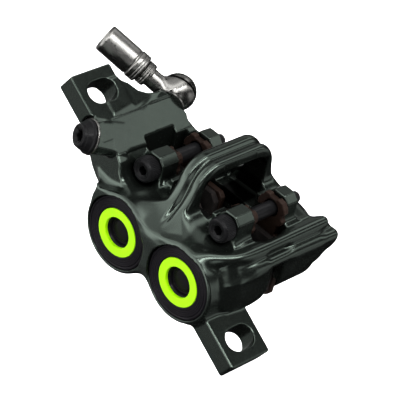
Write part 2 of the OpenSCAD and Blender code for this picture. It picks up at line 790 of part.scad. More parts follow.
// Bleed screw: cone with a six-lobed socket on a plain shank
module bleed_screw() {
    top = bleed_washer_thickness + bleed_height;
    color(black_steel) at_bleed() difference() {
        union() {
            translate([0, 0, bleed_washer_thickness])
                cylinder(r1 = bleed_cone_radius, r2 = bleed_front_diameter / 2, h = bleed_height);
            translate([0, 0, -bleed_shank_length])
                cylinder(d = bleed_shank_diameter, h = bleed_shank_length + bleed_washer_thickness + nick);
        }
        translate([0, 0, top - 2.2]) {
            cylinder(r = bleed_socket * 0.36, h = 2.2 + cut);
            for (a = [0:60:300]) rotate([0, 0, a]) translate([bleed_socket * 0.36, 0, 0])
                cylinder(r = bleed_socket * 0.14, h = 2.2 + cut);
        }
    }
}

module bleed_washer() {
    color(steel) at_bleed() difference() {
        cylinder(r = bleed_cone_radius + 0.3, h = bleed_washer_thickness);
        translate([0, 0, -cut]) cylinder(d = bleed_shank_diameter, h = bleed_washer_thickness + 2 * cut);
    }
}

// Banjo: the ball's lower half with a neck and a collar, drilled for bolt and fluid
module banjo_fitting() {
    color(steel) at_hose() difference() {
        union() {
            intersection() {
                union() {
                    translate([0, 0, ball_centre]) sphere(ball_radius);
                    translate([0, 0, neck_height]) rod_x(neck_diameter / 2, bolt_radius + 1, neck_free + nick);
                }
                translate([0, 0, banjo_from]) cylinder(r = far, h = banjo_height);
            }
            translate([0, 0, neck_height]) {
                rod_x(neck_diameter / 2, neck_free, collar_end - nick);
                rod_x(collar_diameter / 2, neck_length, collar_end);
            }
        }
        cylinder(r = bolt_radius + banjo_gap, h = far, center = true);
        translate([0, 0, neck_height]) rod_x(barb_diameter / 2, 0, collar_end + cut);
    }
}

// Bolt with a domed head that completes the ball
module banjo_bolt() {
    color(steel) at_port() difference() {
        union() {
            intersection() {
                translate([0, 0, ball_centre]) sphere(ball_radius);
                translate([0, 0, head_from]) cylinder(r = far, h = far);
            }
            translate([0, 0, -banjo_thread_length])
                cylinder(r = bolt_radius, h = banjo_thread_length + head_from + nick);
        }
        translate([0, 0, ball_centre + ball_radius - 2.4])
            cylinder(d = banjo_socket / cos(30), h = 2.4 + cut, $fn = 6);
    }
}

// Sealing washer of the banjo, at a height above the seat
module banjo_seal(from) {
    color(steel) at_port() translate([0, 0, from]) difference() {
        cylinder(r = washer_radius, h = banjo_washer);
        translate([0, 0, -cut]) cylinder(r = bolt_radius, h = banjo_washer + 2 * cut);
    }
}

module hose_sleeve() {
    color(steel) at_hose() translate([0, 0, neck_height]) difference() {
        rod_x(sleeve_diameter / 2, collar_end, collar_end + sleeve_length);
        rod_x(sleeve_bore / 2, collar_end + sleeve_floor, collar_end + sleeve_length + cut);
        rod_x(barb_diameter / 2, collar_end - cut, collar_end + sleeve_floor + cut);
    }
}

module hose_barb() {
    color(steel) at_hose() translate([0, 0, neck_height]) difference() {
        rod_x(barb_diameter / 2, collar_end - 1.5, collar_end + sleeve_floor + barb_length);
        rod_x(barb_bore / 2, collar_end - 3, collar_end + sleeve_floor + barb_length + cut);
    }
}

module cylinder_cap_1() { cylinder_cap(-1); }
module cylinder_cap_2() { cylinder_cap(1); }
module cap_o_ring_1() { cap_o_ring(-1); }
module cap_o_ring_2() { cap_o_ring(1); }
module cap_colour_ring_1() { cap_colour_ring(-1); }
module cap_colour_ring_2() { cap_colour_ring(1); }
module piston_outboard_1() { piston(-1, -1); }
module piston_outboard_2() { piston(-1, 1); }
module piston_inboard_1() { piston(1, -1); }
module piston_inboard_2() { piston(1, 1); }
module piston_magnet_outboard_1() { piston_magnet(-1, -1); }
module piston_magnet_outboard_2() { piston_magnet(-1, 1); }
module piston_magnet_inboard_1() { piston_magnet(1, -1); }
module piston_magnet_inboard_2() { piston_magnet(1, 1); }
module piston_seal_outboard_1() { piston_seal(-1, -1); }
module piston_seal_outboard_2() { piston_seal(-1, 1); }
module piston_seal_inboard_1() { piston_seal(1, -1); }
module piston_seal_inboard_2() { piston_seal(1, 1); }
module pad_backing_outboard_1() { pad_backing(-1, -1); }
module pad_backing_outboard_2() { pad_backing(-1, 1); }
module pad_backing_inboard_1() { pad_backing(1, -1); }
module pad_backing_inboard_2() { pad_backing(1, 1); }
module pad_lining_outboard_1() { pad_lining(-1, -1); }
module pad_lining_outboard_2() { pad_lining(-1, 1); }
module pad_lining_inboard_1() { pad_lining(1, -1); }
module pad_lining_inboard_2() { pad_lining(1, 1); }
module pad_pin_1() { pad_pin(-1); }
module pad_pin_2() { pad_pin(1); }
module banjo_washer_inner() { banjo_seal(0); }
module banjo_washer_outer() { banjo_seal(head_from - banjo_washer); }

caliper_body();
cylinder_cap_1();
cylinder_cap_2();
cap_o_ring_1();
cap_o_ring_2();
cap_colour_ring_1();
cap_colour_ring_2();
piston_outboard_1();
piston_outboard_2();
piston_inboard_1();
piston_inboard_2();
piston_magnet_outboard_1();
piston_magnet_outboard_2();
piston_magnet_inboard_1();
piston_magnet_inboard_2();
piston_seal_outboard_1();
piston_seal_outboard_2();
piston_seal_inboard_1();
piston_seal_inboard_2();
pad_backing_outboard_1();
pad_backing_outboard_2();
pad_backing_inboard_1();
pad_backing_inboard_2();
pad_lining_outboard_1();
pad_lining_outboard_2();
pad_lining_inboard_1();
pad_lining_inboard_2();
pad_pin_1();
pad_pin_2();
bleed_screw();
bleed_washer();
banjo_fitting();
banjo_bolt();
banjo_washer_inner();
banjo_washer_outer();
hose_sleeve();
hose_barb();
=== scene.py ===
import json
import math
import bpy
import bmesh
import numpy as np
import openvdb
from mathutils import Matrix, Vector


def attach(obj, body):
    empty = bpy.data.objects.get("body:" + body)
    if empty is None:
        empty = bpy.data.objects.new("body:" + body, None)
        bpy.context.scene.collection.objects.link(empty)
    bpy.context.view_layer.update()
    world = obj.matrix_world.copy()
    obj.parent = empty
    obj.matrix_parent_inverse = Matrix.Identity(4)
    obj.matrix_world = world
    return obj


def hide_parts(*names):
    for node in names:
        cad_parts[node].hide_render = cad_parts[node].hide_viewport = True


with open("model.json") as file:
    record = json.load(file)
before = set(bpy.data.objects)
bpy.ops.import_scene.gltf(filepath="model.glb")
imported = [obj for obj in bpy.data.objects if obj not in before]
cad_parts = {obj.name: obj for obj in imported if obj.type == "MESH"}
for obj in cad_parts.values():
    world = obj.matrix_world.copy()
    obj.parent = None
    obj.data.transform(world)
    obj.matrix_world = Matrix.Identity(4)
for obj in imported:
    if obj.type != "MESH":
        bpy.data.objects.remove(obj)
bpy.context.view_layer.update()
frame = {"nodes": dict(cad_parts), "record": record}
MM = 0.001

# ---------------------------------------------------------------- frames, all in millimetres
TILT = math.radians(30.3)
CT, ST = math.cos(TILT), math.sin(TILT)
ORIGIN = (7.1, 15.0, -1.3)
TURN = math.radians(25)
CP, SP = math.cos(TURN), math.sin(TURN)
PORT = (-27.9, 20.7, 3.0)
BLEED = (-27.1, -8.6, 3.0)
PISTON_X = 11.6
PIN_X, PIN_Z = 14.15, 16.1
POCKET = 6.2             # half the width of the pad pocket

# ---------------------------------------------------------------- sizes, in millimetres
HOUSING_R = 11.5
OUTBOARD_FACE = 23.4     # outer faces of the housings, from the rotor's plane
INBOARD_FACE = 19.6
INNER = 5.0              # where housings, legs and bores start, inside the pocket cut later
BORE_R = 8.54
CAP_BORE_R = 10.42
CAP_SEAT = 20.6
PIN_HOLE_R = 2.02
PIN_SEAT = 12.4
PIN_ROOM_R = 4.1
ROTOR_Z = -92.5          # height of the rotor's axle in the caliper's own frame
ROTOR_CUT_R = 101.9      # the solid's cut has 103.1; this one doesn't show between the end ribs
ROTOR_SLOT_HALF = 2.5
EAR_TOP = 6.0
SLOT_X, SLOT_R, SLOT_HALF = 37.0, 3.2, 1.5
BRIDGE_TOP, BRIDGE_X, BRIDGE_SLOPE = 6.15, 28.6, 0.219
LEVEL = 0.977            # cosine of the bridge's slope
DRILL_DEPTH = 0.8        # the visual body has the mouths of the two drillings only
BLEED_DRILL_R, PORT_DRILL_R = 1.9, 2.2
BLEED_RELIEF_R = 5.35    # room for the washer in front of the bleed seat


def to_body(p):
    """Row frame to the caliper's own frame."""
    x, y, z = p[0] - ORIGIN[0], p[1] - ORIGIN[1], p[2] - ORIGIN[2]
    return x * CT + z * ST, y, -x * ST + z * CT


def body_matrix():
    """The caliper's own frame: X along the pistons, Z out of the rotor's edge."""
    return Matrix(((CT, 0, -ST, ORIGIN[0]), (0, 1, 0, ORIGIN[1]),
                   (ST, 0, CT, ORIGIN[2]), (0, 0, 0, 1)))


def port_matrix():
    """Origin on the hose port's seat, +Z out of the body, +X along the hose."""
    return Matrix(((-CP, 0, -SP, PORT[0]), (-SP, 0, CP, PORT[1]),
                   (0, 1, 0, PORT[2]), (0, 0, 0, 1)))


def bleed_matrix():
    """Origin on the bleed seat, +Z out of the body."""
    return Matrix(((CP, 0, -SP, BLEED[0]), (-SP, 0, -CP, BLEED[1]),
                   (0, 1, 0, BLEED[2]), (0, 0, 0, 1)))


# ---------------------------------------------------------------- distance fields
F = np.float32


def smin(a, b, k):
    """The lesser of two fields, with a blend k wide."""
    h = np.maximum(k - np.abs(a - b), 0) / k
    return np.minimum(a, b) - h * h * k * 0.25


def smax(a, b, k):
    """The greater of two fields, with a blend k wide."""
    h = np.maximum(k - np.abs(a - b), 0) / k
    return np.maximum(a, b) + h * h * k * 0.25


def ramp(v, a, b):
    """0 at a, 1 at b, smooth between."""
    t = np.clip((v - a) / (b - a), 0, 1)
    return t * t * (3 - 2 * t)


def box2(u, v, cu, cv, hu, hv, r):
    """A rectangle about (cu, cv) with its half sides and the radius of its corners."""
    qu = np.abs(u - cu) - (hu - r)
    qv = np.abs(v - cv) - (hv - r)
    return np.hypot(np.maximum(qu, 0), np.maximum(qv, 0)) + np.minimum(np.maximum(qu, qv), 0) - r


def box3(p, c, h, r):
    """A box about c with its half sides and the radius of its edges."""
    q = [np.abs(p[i] - c[i]) - (h[i] - r) for i in range(3)]
    out = np.sqrt(sum(np.maximum(v, 0) ** 2 for v in q))
    return out + np.minimum(np.maximum(np.maximum(q[0], q[1]), q[2]), 0) - r


def slab(v, lo, hi):
    """What lies between two planes."""
    return np.abs(v - (lo + hi) / 2) - (hi - lo) / 2


def poly2(u, v, pts):
    """Signed distance to a closed outline in a plane."""
    n = len(pts)
    best = np.full(u.shape, 1e9, F)
    inside = np.zeros(u.shape, bool)
    for i in range(n):
        ax, ay = pts[i]
        bx, by = pts[(i + 1) % n]
        ex, ey = bx - ax, by - ay
        wx, wy = u - ax, v - ay
        t = np.clip((wx * ex + wy * ey) / (ex * ex + ey * ey), 0, 1)
        d = (wx - ex * t) ** 2 + (wy - ey * t) ** 2
        best = np.minimum(best, d)
        if ey != 0:
            cross = ((ay <= v) & (by > v)) | ((by <= v) & (ay > v))
            xi = ax + (v - ay) * (ex / ey)
            inside ^= cross & (u < xi)
    best = np.sqrt(best)
    return np.where(inside, -best, best)


def tube(p, pts, radii):
    """Round tube along a path, its radius changing from point to point."""
    out = None
    for i in range(len(pts) - 1):
        a, b = pts[i], pts[i + 1]
        e = [b[j] - a[j] for j in range(3)]
        w = [p[j] - a[j] for j in range(3)]
        l2 = sum(c * c for c in e)
        t = np.clip((w[0] * e[0] + w[1] * e[1] + w[2] * e[2]) / l2, 0, 1)
        r = radii[i] + (radii[i + 1] - radii[i]) * t
        d = np.sqrt(sum((w[j] - e[j] * t) ** 2 for j in range(3))) - r
        out = d if out is None else np.minimum(out, d)
    return out


def spline(points, steps=6):
    """Points of a smooth curve through the given points."""
    p = [np.array(q, float) for q in points]
    p = [2 * p[0] - p[1]] + p + [2 * p[-1] - p[-2]]
    out = []
    for i in range(1, len(p) - 2):
        for s in range(steps):
            t = s / steps
            a = 0.5 * (2 * p[i] + (p[i + 1] - p[i - 1]) * t
                       + (2 * p[i - 1] - 5 * p[i] + 4 * p[i + 1] - p[i + 2]) * t * t
                       + (3 * p[i] - p[i - 1] - 3 * p[i + 1] + p[i + 2]) * t ** 3)
            out.append(a)
    out.append(p[-2])
    return out


def smooth_tube(p, points, radii, steps=5):
    """Tube through a few points with one radius each, along a smooth curve."""
    full = spline([tuple(q) + (r,) for q, r in zip(points, radii)], steps)
    return tube(p, [q[:3] for q in full], [q[3] for q in full])


def local(p, origin, ax, ay, az):
    """The point in a frame given by its origin and axes."""
    w = [p[i] - origin[i] for i in range(3)]
    return tuple(sum(w[i] * a[i] for i in range(3)) for a in (ax, ay, az))


def caliper_field(P):
    """Distance to the caliper body's surface, P in the row frame."""
    X, Y, Z = P
    x, y, z = to_body(P)
    ay = np.abs(y)

    # housings with the waist between them
    d1 = np.hypot(x + PISTON_X, z) - HOUSING_R
    d2 = np.hypot(x - PISTON_X, z) - HOUSING_R
    pair = smin(d1, d2, 7.0)
    front = smax(pair, slab(y, -OUTBOARD_FACE, -INNER), 0.9)
    back = smax(pair, slab(y, INNER, INBOARD_FACE), 2.6)

    # legs: the walls beside the pads, rounded over towards their outer faces
    leg = poly2(x, z, [(-22.4, -1.5), (-24.9, 6.4), (-28.2, 10.8), (-26, 11.9), (18.6, 11.9),
                       (23.2, 8.4), (24.2, 6.0), (24.2, -3.4), (11.6, -5.4), (-11.6, -5.4)]) - 0.5
    taper = 3.6 * ramp(-y, 15.0, 22.6) + 3.6 * ramp(-y, 8.0, 19.0) * ramp(x, 12.0, 21.0)
    leg_out = smax(leg + taper, slab(y, -23.2, -INNER), 1.2)
    leg_in = smax(leg, slab(y, INNER, 16.6), 2.4)

    # middle arch: a band whose top carries two ribs, with feet that spread
    outer = smin(box2(y, z, 0, 12.3, 14.1, 15.0, 7.0),
                 poly2(y, z, [(-22.4, 6), (-20.6, 8.6), (-17.2, 13.6), (-12.0, 20.4), (12.0, 19.8),
                              (15.6, 14.6), (17.0, 10.5), (17.6, 6)]) - 0.6, 5.0)
    groove = 1.0 * np.exp(-((x - 0.3) / 0.85) ** 2) * ramp(z, 9.0, 13.0)
    flare = 3.75 + 4.2 * ramp(-z, -16.6, -10.5) ** 2
    arch = smax(outer + groove, np.abs(x - 0.1) - flare, 1.7)
    inner = box2(y, z, 0, 14.0, 12.0, 9.9, 4.6)
    inner = np.minimum(inner, box2(y, z, 0, 10.0, 11.8, 8.0, 0.5))
    arch = smax(arch, -inner, 0.7)

    # end arch: two ribs along the axle that start tangent to the right housing
    upper = smooth_tube(
        (x, y, z), [(11.0, -22.6, 8.6), (14.6, -21.2, 9.8), (17.4, -18.8, 10.3),
                    (19.4, -16.0, 10.4), (20.8, -12.6, 10.6), (21.3, -7, 10.7),
                    (21.3, 6, 10.7), (21.3, 18.6, 10.7)],
        [1.4, 1.7, 1.75, 1.75, 1.7, 1.65, 1.65, 1.75])
    lower = smooth_tube(
        (x, y, z), [(19.2, -19.4, 2.0), (21.6, -16.0, 4.4), (22.8, -11.6, 6.0), (23.3, -6.6, 6.9),
                    (23.4, 6, 7.1), (23.5, 21.4, 6.9)],
        [1.5, 1.7, 1.75, 1.75, 1.75, 1.9])
    wall = poly2(x, z, [(18.9, -3.5), (18.9, 9.9), (21.1, 10.0), (23.2, 6.5), (24.3, 5.4),
                        (24.3, -3.5)]) - 0.5
    wall = wall + 2.6 * ramp(-y, 14.0, 21.0)
    lean = poly2(y, z, [(-20.0, -5.4), (-8.8, -3.9), (-1.6, -2.6), (7, -1.0), (13.4, 0.2),
                        (18.5, 1.4), (21.7, 2.8), (22.9, 4.6), (22.9, 7.6), (21.6, 9.4),
                        (20.0, 12.4), (-20, 12.4)]) - 0.3
    wall = smax(wall, smax(lean, -18.4 - y, 4.0), 1.6)
    end = smin(smin(upper, lower, 0.7), wall, 1.0)

    # the end's lower edge rises towards the wheel
    under = (-2.45 + 0.235 * (y + 3.0) - 1.1 * np.maximum(21.5 - x, 0)) - z
    leg_out = smax(leg_out, under * 0.7, 1.6)
    leg_in = smax(leg_in, under * 0.7, 1.6)
    end = smax(end, under * 0.7, 1.0)

    # blends: outboard and inboard legs with their housings
    near = smin(front, leg_out, 3.2)
    far = smin(back, leg_in, 3.0)
    solid = np.minimum(near, far)
    solid = smin(solid, arch, 3.8)
    solid = smin(solid, end, 2.2)

    # left bridge, in the row frame: a plane that falls away from the ear
    plane = (Z - BRIDGE_TOP) + BRIDGE_SLOPE * (X + BRIDGE_X)
    top = smax(plane * LEVEL, -28.9 - X, 0.25)
    top = smax(top, slab(Z, -8.0, 12.0), 0.2)
    plan = poly2(X, Y, [(-30.4, -2.2), (-27.6, -2.4), (-25, -3.2), (-22.2, -4.2), (-19.3, -4.8),
                        (-15.5, -5.2), (-8.6, -5.4), (-8.6, 29.4), (-30.4, 19.4)])
    plan = smax(plan, (X - PORT[0]) * -SP + (Y - PORT[1]) * CP, 1.6)
    bridge = smax(top, plan, 0.8)
    # a recess in it with sloped walls, in front of the left pin, and the room beside the arch
    clear = poly2(x, y, [(-20.3, -8.7), (-20.5, -14.6), (-20.3, -16.0), (-18.7, -18.0),
                         (-17.0, -19.4), (-14.4, -20.6), (-9.0, -21.6), (2.4, -21.6),
                         (2.4, -8.7)])
    clear = smax((clear + 0.8 * np.clip(17.6 - z, 0, 6)) * 0.8, 12.2 - z, 2.4)
    clear = np.minimum(clear, box3((x, y, z), (-9.0, -2.0, 32.2), (10.0, 9.0, 20.0), 0.6))
    clear = np.minimum(clear, box3((x, y, z), (2.0, 20.0, 32.2), (21.2, 16.4, 19.9), 1.6))
    bridge = smax(bridge, -clear, 0.6)
    solid = smin(solid, bridge, 1.6)

    # ears, with a shallow facet that runs down to the bridge
    ear_l = box3(P, (-34.0, -0.25, 3.0), (9.5, 7.15, 3.0), 0.4)
    ear_l = smax(ear_l, box2(X, Y, -33.5, -0.25, 10.0, 7.15, 0.9), 0.3)
    flare_l = poly2(X, Y, [(-38.6, 0.2), (-38.6, 6.3), (-36.4, 9.0), (-33.6, 10.8), (-32.2, 13.0),
                           (-30.8, 16.8), (-29.0, 18.7), (-26, 18.7), (-26, 0.2)]) - 0.4
    flare_l = smax(flare_l, slab(Z, 0.0, EAR_TOP), 0.5)
    ear_r = smax(smax(slab(Z, 0.0, EAR_TOP), slab(Y, -7.4, 6.9), 0.5), slab(X, 15.5, 43.5), 0.5)
    ear_r = smax(ear_r, box2(X, Y, 28.5, -0.25, 15.0, 7.15, 0.9), 0.3)
    ear_l = smin(ear_l, flare_l, 1.0)
    facet = (Z - EAR_TOP) + 0.24 * (X + 28.9 + 0.14 * np.clip(Y + 2.0, 0, 20))
    facet = np.maximum(facet, -9.0 - Y)
    solid = smin(solid, smax(ear_l, facet * 0.97, 0.15), 0.35)
    solid = smin(solid, ear_r, 1.4)

    # bosses of the ports, and everything above the bridge's plane cut away
    bl = local(P, BLEED, (CP, -SP, 0), (0, 0, 1), (-SP, -CP, 0))
    po = local(P, PORT, (-CP, -SP, 0), (0, 0, 1), (-SP, CP, 0))
    bleed_r, port_r = np.hypot(bl[0], bl[1]), np.hypot(po[0], po[1])
    bleed_boss = smax(bleed_r - 4.4, slab(bl[2], -9, 0), 0.5)
    bleed_boss = smax(bleed_boss, Z - 5.9 + 0.22 * (X + 27.6), 0.5)
    port_boss = smax(smax(port_r - 5.2, slab(po[2], -10, 0), 0.5), Z - EAR_TOP, 0.5)
    solid = smin(solid, bleed_boss, 1.0)
    solid = smin(solid, port_boss, 2.0)
    solid = smax(solid, np.minimum(plane * LEVEL, -slab(X, -28.9, -20.0)), 0.3)

    # room in front of the two pins, then the lugs and guides
    for e in (-1, 1):
        px = e * PIN_X
        head = smax(np.hypot(x - px, z - PIN_Z) - PIN_ROOM_R, slab(y, -40, -PIN_SEAT), 0.6)
        solid = smax(solid, -head, 0.9)
        octo = poly2(x - px, z - PIN_Z, [(-3.3, -7), (-3.3, 2.1), (-1.6, 3.8), (1.6, 3.8),
                                         (3.3, 2.1), (3.3, -7)]) - 0.3
        lug = smax(octo, slab(y, -PIN_SEAT, -6.0), 0.5)
        lug_in = smax(octo, slab(y, 6.0, 10.4), 0.5)
        gx = e * 7.6
        guide = poly2(x - gx, z, [(-1.5, 8), (-1.5, 14.6), (-0.8, 15.3), (0.8, 15.3),
                                  (1.5, 14.6), (1.5, 8)]) - 0.3
        guide = smax(guide, slab(ay, 6.0, 11.0), 0.5)
        solid = smin(solid, np.minimum(lug, lug_in), 2.2)
        solid = smin(solid, guide, 1.6)

    # cuts: rotor, pads, windows, notch, the room under the arch
    cut = box3((x, y, z), (0.0, 0.0, -24.2), (22.0, POCKET, 35.0), 0.3)
    disc = smax(np.hypot(x, z - ROTOR_Z) - ROTOR_CUT_R, ay - ROTOR_SLOT_HALF, 0.2)
    cut = np.minimum(cut, disc)
    win_r = box3((x, y, z), (11.5, 0.0, 30.0), (7.8, POCKET, 20.4), 0.6)
    win_l = box3((x, y, z), (-11.95, 0.0, 30.0), (8.25, POCKET, 20.4), 0.6)
    notch = box3((x, y, z), (-19.0, -3.35, 30.0), (3.0, 5.45, 20.4), 0.4)
    cut = np.minimum(cut, np.minimum(np.minimum(win_r, win_l), notch))
    cut = np.maximum(cut, -smax(np.abs(x) - 3.75, 16.0 - z, 0.3))
    room = box3((x, y, z), (0.0, 0.0, 18.2), (7.4, 11.6, 8.0), 1.2)
    room = smax(room, smax(np.abs(x) - 7.2, z - 17.0, 0.3), 0.3)
    cut = np.minimum(cut, room)
    solid = smax(solid, -cut, 0.4)

    # bores of cylinders and caps, pin holes
    for e in (-1, 1):
        r = np.hypot(x - e * PISTON_X, z)
        solid = np.maximum(solid, -np.maximum(r - BORE_R, slab(y, INNER, 17.7)))
        solid = np.maximum(solid, -np.maximum(r - BORE_R, slab(y, -19.0, -INNER)))
        solid = smax(solid, -np.maximum(r - CAP_BORE_R, slab(y, -30.0, -CAP_SEAT)), 0.25)
        r = np.hypot(x - e * PIN_X, z - PIN_Z)
        solid = smax(solid, -np.maximum(r - PIN_HOLE_R, slab(y, -13.4, 11.4)), 0.3)

    # slots, port holes, relief in front of the bleed seat
    for e in (-1, 1):
        q = np.maximum(np.abs(Y) - SLOT_HALF, 0)
        slot = np.maximum(np.hypot(X - e * SLOT_X, q) - SLOT_R, slab(Z, -2, 20))
        solid = smax(solid, -slot, 0.3)
    solid = np.maximum(solid, -np.maximum(bleed_r - BLEED_DRILL_R, slab(bl[2], -DRILL_DEPTH, 4)))
    solid = smax(solid, -np.maximum(bleed_r - BLEED_RELIEF_R, slab(bl[2], 0, 12)), 0.4)
    return np.maximum(solid, -np.maximum(port_r - PORT_DRILL_R, slab(po[2], -DRILL_DEPTH, 3)))


def add_object(name, data):
    o = bpy.data.objects.new(name, data)
    bpy.context.scene.collection.objects.link(o)
    return o


BLOCK = 4                # fine cells along a side of a coarse one
REACH = 1.35             # how many coarse cells from the surface are still looked at finely
CHUNK = 40000            # coarse cells worked out at a time
SURFACE_STEP, NORMAL_STEP = 0.06, 0.1


def mesh_from_field(name, field, lo, hi, pitch):
    """Quads of the field's zero surface, moved onto it, with its own normals."""
    lo = np.array(lo, float)
    coarse = BLOCK * pitch
    band = 3 * pitch
    n = np.ceil((np.array(hi) - lo) / coarse).astype(int)
    centres = [lo[i] + (np.arange(n[i]) + 0.5) * coarse for i in range(3)]
    cx, cy, cz = np.meshgrid(*centres, indexing="ij")
    d = field((cx.astype(F), cy.astype(F), cz.astype(F)))
    keep = np.argwhere(np.abs(d) < coarse * REACH)
    spread = np.repeat(np.repeat(np.repeat(d, BLOCK, 0), BLOCK, 1), BLOCK, 2)
    grid = np.where(spread > 0, F(band), F(-band))
    off = np.arange(BLOCK)
    ox, oy, oz = np.meshgrid(off, off, off, indexing="ij")
    off = np.stack([ox.ravel(), oy.ravel(), oz.ravel()], 1)
    for s in range(0, len(keep), CHUNK):
        idx = (keep[s:s + CHUNK, None, :] * BLOCK + off[None]).reshape(-1, 3)
        p = lo + (idx + 0.5) * pitch
        v = field((p[:, 0].astype(F), p[:, 1].astype(F), p[:, 2].astype(F)))
        grid[idx[:, 0], idx[:, 1], idx[:, 2]] = np.clip(v, -band, band)
    vol = openvdb.FloatGrid(band)
    vol.copyFromArray(grid.astype(F))
    verts, quads = vol.convertToQuads(isovalue=0.0)
    verts = lo + (verts.astype(float) + 0.5) * pitch

    def value(q):
        q = q.astype(F)
        return field((q[:, 0], q[:, 1], q[:, 2])).astype(float)

    def gradient(q, h):
        g = np.stack([value(q + e) - value(q - e) for e in np.eye(3) * h], 1)
        return g / np.maximum(np.linalg.norm(g, axis=1, keepdims=True), 1e-9)

    for _ in range(2):
        g = gradient(verts, SURFACE_STEP)
        v = np.clip(value(verts), -0.3 * pitch, 0.3 * pitch)
        verts = verts - g * v[:, None]
    normals = gradient(verts, NORMAL_STEP)
    me = bpy.data.meshes.new(name)
    me.from_pydata((verts * MM).tolist(), [], quads[:, ::-1].tolist())
    me.update()
    # turn the faces outwards, if they point in
    flat = np.zeros(len(me.polygons) * 3)
    me.polygons.foreach_get("normal", flat)
    if (flat.reshape(-1, 3) * normals[quads[:, 0]]).sum() < 0:
        me.flip_normals()
    me.polygons.foreach_set("use_smooth", np.ones(len(me.polygons), bool))
    me.normals_split_custom_set_from_vertices(normals.tolist())
    return add_object(name, me)


# ---------------------------------------------------------------- materials
def material(name):
    m = bpy.data.materials.new(name)
    m.use_nodes = True
    nt = m.node_tree
    return m, nt, nt.nodes["Principled BSDF"]


def link(nt, a, b):
    nt.links.new(a, b)


def object_coords(nt):
    c = nt.nodes.get("Coords") or nt.nodes.new("ShaderNodeTexCoord")
    c.name = "Coords"
    return c.outputs["Object"]


def math_node(nt, op, *values):
    """A Math node whose inputs are numbers or other nodes' outputs."""
    n = nt.nodes.new("ShaderNodeMath")
    n.operation = op
    for k, v in enumerate(values):
        if isinstance(v, (int, float)):
            n.inputs[k].default_value = v
        else:
            link(nt, v, n.inputs[k])
    return n.outputs[0]


def noise(nt, scale, detail=3.0):
    n = nt.nodes.new("ShaderNodeTexNoise")
    n.inputs["Scale"].default_value = scale
    n.inputs["Detail"].default_value = detail
    n.inputs["Roughness"].default_value = 0.5
    link(nt, object_coords(nt), n.inputs["Vector"])
    return n.outputs["Fac"]


def ramp_node(nt, fac, stops):
    r = nt.nodes.new("ShaderNodeValToRGB")
    while len(r.color_ramp.elements) < len(stops):
        r.color_ramp.elements.new(0.5)
    for e, (pos, col) in zip(r.color_ramp.elements, stops):
        e.position = pos
        e.color = tuple(col) + (1,)
    link(nt, fac, r.inputs["Fac"])
    return r.outputs["Color"]


def map_range(nt, fac, lo, hi, a=0.0, b=1.0):
    """lo where fac is a, hi where it is b, and limited to these."""
    r = nt.nodes.new("ShaderNodeMapRange")
    r.inputs["From Min"].default_value = a
    r.inputs["From Max"].default_value = b
    r.inputs["To Min"].default_value = lo
    r.inputs["To Max"].default_value = hi
    link(nt, fac, r.inputs["Value"])
    return r.outputs["Result"]


def bump(nt, height, strength, distance, into):
    b = nt.nodes.new("ShaderNodeBump")
    b.inputs["Strength"].default_value = strength
    b.inputs["Distance"].default_value = distance
    link(nt, height, b.inputs["Height"])
    link(nt, b.outputs["Normal"], into)


def edge_wear(nt):
    """1 on sharp edges, from the surface's pointiness."""
    g = nt.nodes.new("ShaderNodeNewGeometry")
    return map_range(nt, g.outputs["Pointiness"], 0.0, 1.0, 0.505, 0.56)


def shade_factor(nt, distance, floor_value):
    """Painted shade from ambient occlusion: 1 in the open, floor_value deep in a cavity."""
    ao = nt.nodes.new("ShaderNodeAmbientOcclusion")
    ao.samples = 16
    ao.inputs["Distance"].default_value = distance
    return map_range(nt, ao.outputs["AO"], floor_value, 1.0, 0.15, 0.62)


def times(nt, col, fac):
    """The colour, darkened by a factor."""
    mix = nt.nodes.new("ShaderNodeMix")
    mix.data_type = "RGBA"
    mix.inputs["A"].default_value = (0, 0, 0, 1)
    link(nt, fac, mix.inputs["Factor"])
    link(nt, col, mix.inputs["B"])
    return mix.outputs["Result"]


def painted_room_shade(nt):
    """Painted shade: 0.04 in the room under the arch and between the pads, 1 outside it."""
    out = None
    for axis, middle, half, soft_edge in (((CT, 0, ST), 0.0, 5.2, 1.4), ((0, 1, 0), 0.0, 12.6, 0.8),
                                          ((-ST, 0, CT), 15.0, 8.9, 0.7)):
        start = sum(a * o for a, o in zip(axis, ORIGIN))
        along = nt.nodes.new("ShaderNodeVectorMath")
        along.operation = "DOT_PRODUCT"
        link(nt, object_coords(nt), along.inputs[0])
        along.inputs[1].default_value = axis
        off = math_node(nt, "SUBTRACT", along.outputs["Value"], (start + middle) * MM)
        dist = math_node(nt, "ABSOLUTE", off)
        f = map_range(nt, dist, 1.0, 0.0, (half - soft_edge) * MM, half * MM)
        out = f if out is None else math_node(nt, "MULTIPLY", out, f)
    return map_range(nt, out, 1.0, 0.04)


